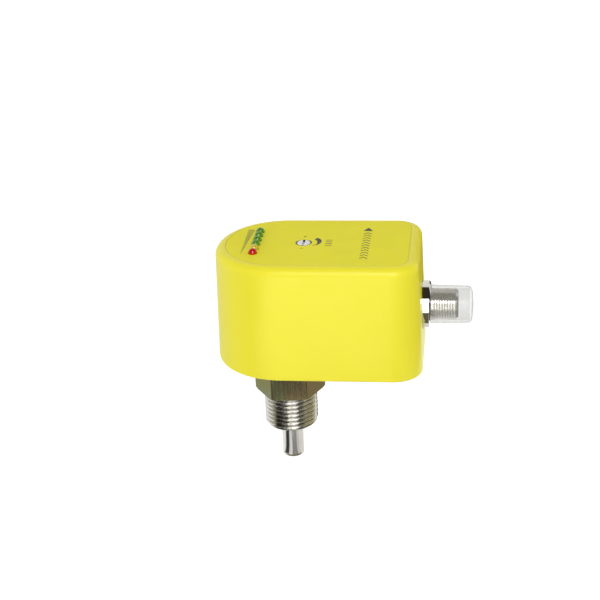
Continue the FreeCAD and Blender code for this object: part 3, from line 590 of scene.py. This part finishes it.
# Hexagon steel is a dark olive copy of the stem's steel: a dull oxide skin, darkened further with painted
# shade and given the yellow cast of a painted reflection of the housing.
DRAWN_STEEL = drawn_metal("drawn_steel", (0.142, 0.14, 0.072), stain_and_shade_tint=(0.17, 0.128, 0.068), roughness=0.23)
TUBE_STEEL = turned_metal("tube_steel", (0.66, 0.65, 0.62), roughness=0.17, axis="Z", depth=0.0006,
                          anisotropy=0.0)
POLISHED_NICKEL = turned_metal("polished_nickel", NICKEL, roughness=0.05, axis="X", depth=0.0004,
                               anisotropy=0.0, stain=0.02, uneven=0.2)
INK = ink("black_ink", (0.03, 0.026, 0.022))

for row in frame["record"]["subparts"]:
    for material_slot in frame["nodes"][row["node"]].material_slots:
        material_slot.material = MATERIALS[row["material_slot"]]
frame["nodes"]["probe_tube"].material_slots[0].material = TUBE_STEEL


def mesh_from(name, bm):
    """Mesh made from a bmesh, which is then freed."""
    mesh = bpy.data.meshes.new(name)
    bm.to_mesh(mesh)
    bm.free()
    return mesh


def link(name, mesh, body, slot, *replaced):
    """Piece of the part, riding on a body."""
    piece = bpy.data.objects.new(name, mesh)
    bpy.context.scene.collection.objects.link(piece)
    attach(piece, body)
    if replaced:
        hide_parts(*replaced)


def woven_rings(name, rings):
    """Closed mesh through rings of points, each ring joined to the next and the last to the first."""
    bm = bmesh.new()
    made = [[bm.verts.new(Vector(p) * MM) for p in ring] for ring in rings]
    for low, high in zip(made, made[1:] + made[:1]):
        count = len(low)
        for i in range(count):
            j = (i + 1) % count
            bm.faces.new((low[i], low[j], high[j], high[i]))
    bmesh.ops.recalc_face_normals(bm, faces=bm.faces[:])
    for face in bm.faces:
        face.smooth = True
    mesh = mesh_from(name, bm)
    mesh.set_sharp_from_angle(angle=math.radians(SHARP_ANGLE))
    return mesh


def thread_depth(along, angle, pitch, depth, crest=1):
    """How far a right hand thread is cut below its crest; a higher crest number gives wider crests."""
    return depth * ((1 - math.cos(TURN * (along / pitch) - angle)) / 2) ** crest


def ease(value, low, high):
    """Smooth step from 0 to 1 between two values."""
    t = min(1.0, max(0.0, (value - low) / (high - low)))
    return t * t * (3 - 2 * t)


def steps(low, high, count):
    """Evenly spaced values from low to high, both included."""
    return [low + (high - low) * i / count for i in range(count + 1)]


def reach_of(radius):
    """Radius of each point of a ring, from a number or from a function of the point's index."""
    return radius if callable(radius) else (lambda i: radius)


def hex_radius(degrees_from_corner):
    """Radius of the hexagon, its upright edges slightly rounded."""
    off = abs((degrees_from_corner + 30) % 60 - 30)
    flat = HEX_AF / 2 / math.cos(math.radians(30 - off))
    centre = (HEX_AF / 2 - HEX_EDGE_R) / math.cos(math.radians(30))
    sideways = centre * math.sin(math.radians(off))
    if sideways >= HEX_EDGE_R:
        return flat
    arc_radius = centre * math.cos(math.radians(off)) + math.sqrt(HEX_EDGE_R ** 2 - sideways ** 2)
    return min(flat, arc_radius)


def stem_mesh():
    """Process connection with its cut thread, chamfered hexagon, collar, seal groove and neck."""
    near_corner = [0.0, 0.28, 0.55, 0.83]
    between = [2.5 * i for i in range(1, 24)]
    one_side = near_corner + between + [60 - d for d in near_corner[:0:-1]]
    angles = [HEX_TURN + 60 * k + d for k in range(6) for d in one_side]
    radians = [math.radians(a) for a in angles]

    def ring(z, radius):
        reach = reach_of(radius)
        return [(reach(i) * math.cos(a), reach(i) * math.sin(a), z) for i, a in enumerate(radians)]

    def thread(z):
        chamfer = STEM_THREAD_R - STEM_THREAD_CHAMFER + (z - STEM_THREAD_END)
        cut = ease(-z, *STEM_RUNOUT)
        return lambda i: min(
            STEM_THREAD_R - cut * thread_depth(z, radians[i], STEM_PITCH, STEM_DEPTH), chamfer)

    def hexagon(z):
        reach = HEX_FACE_R + min(z, HEX_TOP - z) / math.tan(math.radians(HEX_CHAMFER_ANGLE))
        return lambda i: min(hex_radius(angles[i] - HEX_TURN), reach)

    rings = [ring(TUBE_TOP, BORE_R), ring(TUBE_TOP, TUBE_R), ring(STEM_THREAD_END, TUBE_R),
             ring(STEM_THREAD_END, STEM_THREAD_FOOT_R)]
    thread_start = len(rings)
    rings += [ring(z, thread(z)) for z in steps(STEM_THREAD_END, 0.0, STEM_THREAD_STEPS)]
    thread_end = len(rings)
    rings.append(ring(0.0, SEALING_FACE_R))
    hex_start = len(rings)
    lower = steps(0.0, HEX_CHAMFER_ZONE, HEX_CHAMFER_STEPS)
    upper = steps(HEX_TOP - HEX_CHAMFER_ZONE, HEX_TOP, HEX_CHAMFER_STEPS)
    rings += [ring(z, hexagon(z)) for z in lower + [HEX_TOP / 2] + upper]
    hex_end = len(rings)
    rings += [ring(z, r) for z, r in STEM_TOP_PROFILE]
    mesh = woven_rings("process_connection_cut", rings)
    for material in (MATERIALS["stainless_steel"], DRAWN_STEEL, THREAD_STEEL):
        mesh.materials.append(material)
    for face in mesh.polygons:
        row = face.index // len(angles)
        if hex_start <= row < hex_end - 1:
            face.material_index = 1
        elif thread_start <= row < thread_end - 1:
            face.material_index = 2
    return mesh


def plug_mesh():
    """Plug barrel with its cut thread, polished collar and rear thread."""
    radians = [TURN * i / PLUG_SIDES for i in range(PLUG_SIDES)]

    def ring(x, radius):
        reach = reach_of(radius)
        return [(x, reach(i) * math.cos(a), PLUG_Z + reach(i) * math.sin(a))
                for i, a in enumerate(radians)]

    def thread(x):
        cut = ease(x - PLUG_FRONT_X, *PLUG_RUNOUT)
        chamfer = PLUG_THREAD_R - PLUG_LEAD + (PLUG_END_X - x)
        return lambda i: min(
            PLUG_THREAD_R - cut * thread_depth(x, radians[i], PLUG_PITCH, PLUG_DEPTH, PLUG_CREST),
            chamfer)

    def rear_thread(x):
        cut = ease(PLUG_SEAT_X - x, *REAR_RUNOUT)
        chamfer = REAR_THREAD_R - REAR_LEAD + (x - PLUG_REAR_X)
        return lambda i: min(
            REAR_THREAD_R - cut * thread_depth(x, radians[i], REAR_PITCH, REAR_DEPTH), chamfer)

    rings = [ring(PLUG_REAR_X, INSERT_R)]
    rings += [ring(x, rear_thread(x)) for x in steps(PLUG_REAR_X, PLUG_SEAT_X, REAR_THREAD_STEPS)]
    collar_start = len(rings)
    rings += [ring(x, r) for x, r in PLUG_COLLAR_PROFILE]
    collar_end = len(rings)
    rings += [ring(x, r) for x, r in PLUG_FOOT_PROFILE]
    rings += [ring(x, thread(x)) for x in steps(PLUG_THREAD_START_X, PLUG_END_X, PLUG_THREAD_STEPS)]
    lead_start = len(rings) - PLUG_LEAD_ROWS
    rings += [ring(x, r) for x, r in PLUG_MOUTH_PROFILE]
    mesh = woven_rings("plug_barrel_cut", rings)
    mesh.materials.append(MATERIALS["plated_brass"])
    mesh.materials.append(POLISHED_NICKEL)
    for face in mesh.polygons:
        row = face.index // PLUG_SIDES
        if collar_start <= row < collar_end or row >= lead_start:
            face.material_index = 1
    return mesh


link("process_connection_cut", stem_mesh(), "switch", "stainless_steel", "process_connection")
link("plug_barrel_cut", plug_mesh(), "switch", "plated_brass", "connector_body")


def printed(name, outlines):
    """Flat ink marks on the label, from closed outlines of (x, y) points."""
    bm = bmesh.new()
    for outline in outlines:
        low = [bm.verts.new(Vector((x, y, LABEL_Z - INK_FOOT)) * MM) for x, y in outline]
        high = [bm.verts.new(Vector((x, y, LABEL_Z + INK_HEIGHT)) * MM) for x, y in outline]
        bm.faces.new(low)
        bm.faces.new(high)
        for i in range(len(low)):
            j = (i + 1) % len(low)
            bm.faces.new((low[i], low[j], high[j], high[i]))
    bmesh.ops.recalc_face_normals(bm, faces=bm.faces[:])
    mesh = mesh_from(name, bm)
    mesh.materials.append(INK)
    link(name, mesh, "switch", "label_film")


def bar(x, y, length, width):
    """Rounded bar along X, centred on a point."""
    half, r = length / 2, width / 2
    ends = [(half - r, -90), (r - half, 90)]
    return [(x + c + r * math.cos(math.radians(s + 30 * k)), y + r * math.sin(math.radians(s + 30 * k)))
            for c, s in ends for k in range(7)]


def upright_bar(x, y, length, width):
    """Rounded bar along Y, centred on a point."""
    return [(x + q, y + p) for p, q in bar(0, 0, length, width)]


def ribbon(points, widths):
    """Outline of a stroke along points, with a width at each point."""
    left, right = [], []
    for i, (x, y) in enumerate(points):
        ahead = points[min(i + 1, len(points) - 1)]
        behind = points[max(i - 1, 0)]
        dx, dy = ahead[0] - behind[0], ahead[1] - behind[1]
        size = math.hypot(dx, dy)
        nx, ny = -dy / size * widths[i] / 2, dx / size * widths[i] / 2
        left.append((x + nx, y + ny))
        right.append((x - nx, y - ny))
    return left + right[::-1]


def arc(cx, cy, rx, ry, start, end, count):
    """Points along part of an ellipse."""
    return [(cx + rx * math.cos(math.radians(a)), cy + ry * math.sin(math.radians(a)))
            for a in steps(start, end, count)]


def chevron(y):
    """Open arrow across the label, pointing along +Y."""
    left, right = (FLOW_X - CHEVRON_HALF, y - CHEVRON_DROP), (FLOW_X + CHEVRON_HALF, y - CHEVRON_DROP)
    return ribbon([left, (FLOW_X, y + CHEVRON_RISE), right], CHEVRON_WIDTHS)


# Scale beside the lamps: bars that grow from the near end to the far end
printed("lamp_scale", [
    bar(SCALE_START[0] + SCALE_REACH[0] * t, SCALE_START[1] + SCALE_REACH[1] * t,
        SCALE_LENGTH[0] + SCALE_LENGTH[1] * t, BAR_WIDTH)
    for t in steps(0.0, 1.0, SCALE_BARS - 1)
])

# Turning sign beside the adjuster: a crescent, and a plus and a minus at its two ends
crescent_widths = [CRESCENT_WIDTH * (1 - ease(t, *CRESCENT_TAPER)) + CRESCENT_TIP
                   for t in steps(0.0, 1.0, CRESCENT_STEPS)]
printed("turn_sign", [ribbon(arc(*CRESCENT, CRESCENT_STEPS), crescent_widths)])
printed("plus_minus", [
    bar(*PLUS_PLACE, PLUS_LENGTH, PLUS_WIDTH), upright_bar(*PLUS_PLACE, PLUS_LENGTH, PLUS_WIDTH),
    bar(*MINUS_PLACE, PLUS_LENGTH, PLUS_WIDTH),
])

# Flow sign across the label: a row of chevrons and an arrow head, all pointing the same way
arrow_head = [(FLOW_X - ARROW_HALF, ARROW_ENDS[0]), (FLOW_X, ARROW_ENDS[1]),
              (FLOW_X + ARROW_HALF, ARROW_ENDS[0])]
printed("flow_sign", [chevron(CHEVRON_START + CHEVRON_STEP * n) for n in range(CHEVRONS)] + [arrow_head])

# Short bars by the adjuster
printed("setting_sign", [bar(SETTING_X, y, SETTING_LENGTH, BAR_WIDTH) for y in SETTING_YS])


def direction(azimuth, elevation):
    """Unit vector from the object; azimuth 0 is towards -Y and turns towards +X."""
    a, e = math.radians(azimuth), math.radians(elevation)
    return Vector((math.sin(a) * math.cos(e), -math.cos(a) * math.cos(e), math.sin(e)))


def staged(name, bm):
    """Object of the studio, which isn't part of the switch."""
    sheet = bpy.data.objects.new(name, mesh_from(name, bm))
    bpy.context.scene.collection.objects.link(sheet)
    return sheet


def backdrop():
    """Level floor that carries the object's shadow: plain white from above, and clear from below."""
    bm = bmesh.new()
    bmesh.ops.create_grid(bm, x_segments=1, y_segments=1, size=FLOOR_HALF)
    floor = staged("floor", bm)
    floor.location.z = FLOOR_Z * MM
    floor.visible_glossy = False
    material = bpy.data.materials.new("pale_floor")
    tree = Tree(material)
    matt, glow, both = tree.add("BsdfDiffuse"), tree.add("Emission"), tree.add("AddShader")
    path = tree.add("LightPath")
    tree.put(matt.inputs["Color"], FLOOR_TONE)
    seen = tree.larger(path.outputs["Is Camera Ray"], path.outputs["Is Transmission Ray"])
    tree.join(tree.times(seen, FLOOR_GLOW), glow.inputs["Strength"])
    tree.join(matt.outputs[0], both.inputs[0])
    tree.join(glow.outputs[0], both.inputs[1])
    below = tree.times(tree.add("NewGeometry").outputs["Backfacing"], path.outputs["Is Camera Ray"])
    tree.end(tree.choose(below, both.outputs[0], tree.add("BsdfTransparent").outputs[0]))
    floor.data.materials.append(material)


def sector(start, end, inner, outer, z):
    """Level outline round the stem, between two bearings and two radii."""
    spots = [(a, inner) for a in steps(start, end, CARD_STEPS)]
    spots += [(a, outer) for a in steps(end, start, CARD_STEPS)]
    return [direction(CAMERA_AZIMUTH + a, 0) * r + Vector((0, 0, z)) for a, r in spots]


def level(left, right, near, far, z):
    """Level outline between x and y limits."""
    return [(left, near, z), (right, near, z), (right, far, z), (left, far, z)]


def standing(azimuth, elevation, distance, width, height):
    """Corners of an upright sheet that faces the object; lengths in metres."""
    back = direction(azimuth, elevation)
    across = Vector((0, 0, 1)).cross(back).normalized()
    up = back.cross(across)
    middle = Vector(LIGHT_AIM) * MM + back * distance
    half_w, half_h = across * width / 2, up * height / 2
    return [(middle + i * half_w + j * half_h) / MM for i, j in ((-1, -1), (1, -1), (1, 1), (-1, 1))]


def card(name, outline, tone, from_below=False):
    """Flat glowing card beside the object, a painted reflection seen only in what mirrors it, from both
    sides or only from below.
    """
    bm = bmesh.new()
    bm.faces.new([bm.verts.new(Vector(point) * MM) for point in outline])
    board = staged(name, bm)
    board.visible_camera = board.visible_diffuse = False
    board.visible_transmission = board.visible_shadow = False
    material = bpy.data.materials.new(name)
    tree = Tree(material)
    material.cycles.emission_sampling = "NONE"
    glow = tree.add("Emission")
    tree.put(glow.inputs["Color"], tone)
    shader = glow.outputs[0]
    if from_below:
        top_side = tree.add("NewGeometry").outputs["Backfacing"]
        shader = tree.choose(top_side, shader, tree.add("BsdfTransparent").outputs[0])
    tree.end(shader)
    board.data.materials.append(material)


def studio():
    """White surroundings, with the unlit front of the room seen only in reflections."""
    world = bpy.data.worlds.new("studio")
    bpy.context.scene.world = world
    tree = Tree(world)
    world.cycles.sampling_method = "NONE"
    place, path = tree.add("TexCoord").outputs["Generated"], tree.add("LightPath")
    from_camera, from_gloss = path.outputs["Is Camera Ray"], path.outputs["Is Glossy Ray"]
    through = path.outputs["Is Transmission Ray"]

    def along(vector):
        return tree.vectors("DOT_PRODUCT", place, vector).outputs["Value"]

    front = tree.span(along(direction(*ROOM_PLACE)), *ROOM_EDGE)
    height = tree.span(along(Vector((0, 0, 1))), *ROOM_HEIGHT)
    mirrored = tree.blend(front, SURROUNDINGS, tree.blend(height, ROOM_LOW, ROOM_HIGH))
    colour = tree.blend(through, tree.blend(from_gloss, WHITE, mirrored), WHITE)
    sky = tree.add("Background")
    sky.inputs["Strength"].default_value = SKY_STRENGTH
    seen = tree.add("Background")
    tree.join(colour, seen.inputs["Color"])
    direct = tree.larger(tree.larger(from_camera, from_gloss), through)
    tree.end(tree.choose(direct, sky.outputs[0], seen.outputs[0]), "OutputWorld")


def softbox(name, azimuth, elevation, distance, width, height, power, mirrored):
    """Area lamp that faces the object and that the camera doesn't see."""
    data = bpy.data.lights.new(name, "AREA")
    data.shape = "RECTANGLE"
    data.size, data.size_y = width, height
    data.energy = power
    lamp = bpy.data.objects.new(name, data)
    bpy.context.scene.collection.objects.link(lamp)
    back = direction(azimuth, elevation)
    lamp.location = Vector(LIGHT_AIM) * MM + back * distance
    lamp.rotation_euler = back.to_track_quat("Z", "Y").to_euler()
    lamp.visible_camera = False
    lamp.visible_glossy = mirrored


def camera():
    """Camera at the photograph's angle."""
    back = direction(CAMERA_AZIMUTH, CAMERA_ELEVATION)
    a, roll = math.radians(CAMERA_AZIMUTH), math.radians(CAMERA_ROLL)
    right = Vector((math.cos(a), math.sin(a), 0))
    up = back.cross(right)
    across = right * math.cos(roll) - up * math.sin(roll)
    upright = right * math.sin(roll) + up * math.cos(roll)
    data = bpy.data.cameras.new("camera")
    data.lens = LENS
    data.sensor_width = SENSOR
    data.clip_start, data.clip_end = CLIP
    view = bpy.data.objects.new("camera", data)
    bpy.context.scene.collection.objects.link(view)
    turn = Matrix((across, upright, back)).transposed().to_4x4()
    view.matrix_world = Matrix.Translation((Vector(AIM) + back * DISTANCE) * MM) @ turn
    bpy.context.scene.camera = view


backdrop()
for card_name, (*limits, z, tone) in STEM_CARDS.items():
    card(card_name, sector(*limits, z), tone, from_below=z == RAISED_Z)
for card_name, (*limits, tone) in LEVEL_CARDS.items():
    card(card_name, level(*limits), tone)
for card_name, (*place, tone) in STANDING_CARDS.items():
    card(card_name, standing(*place), tone)
studio()
for lamp_name, settings in SOFTBOXES.items():
    softbox(lamp_name, *settings)
camera()
bpy.context.scene.view_settings.view_transform = "Standard"
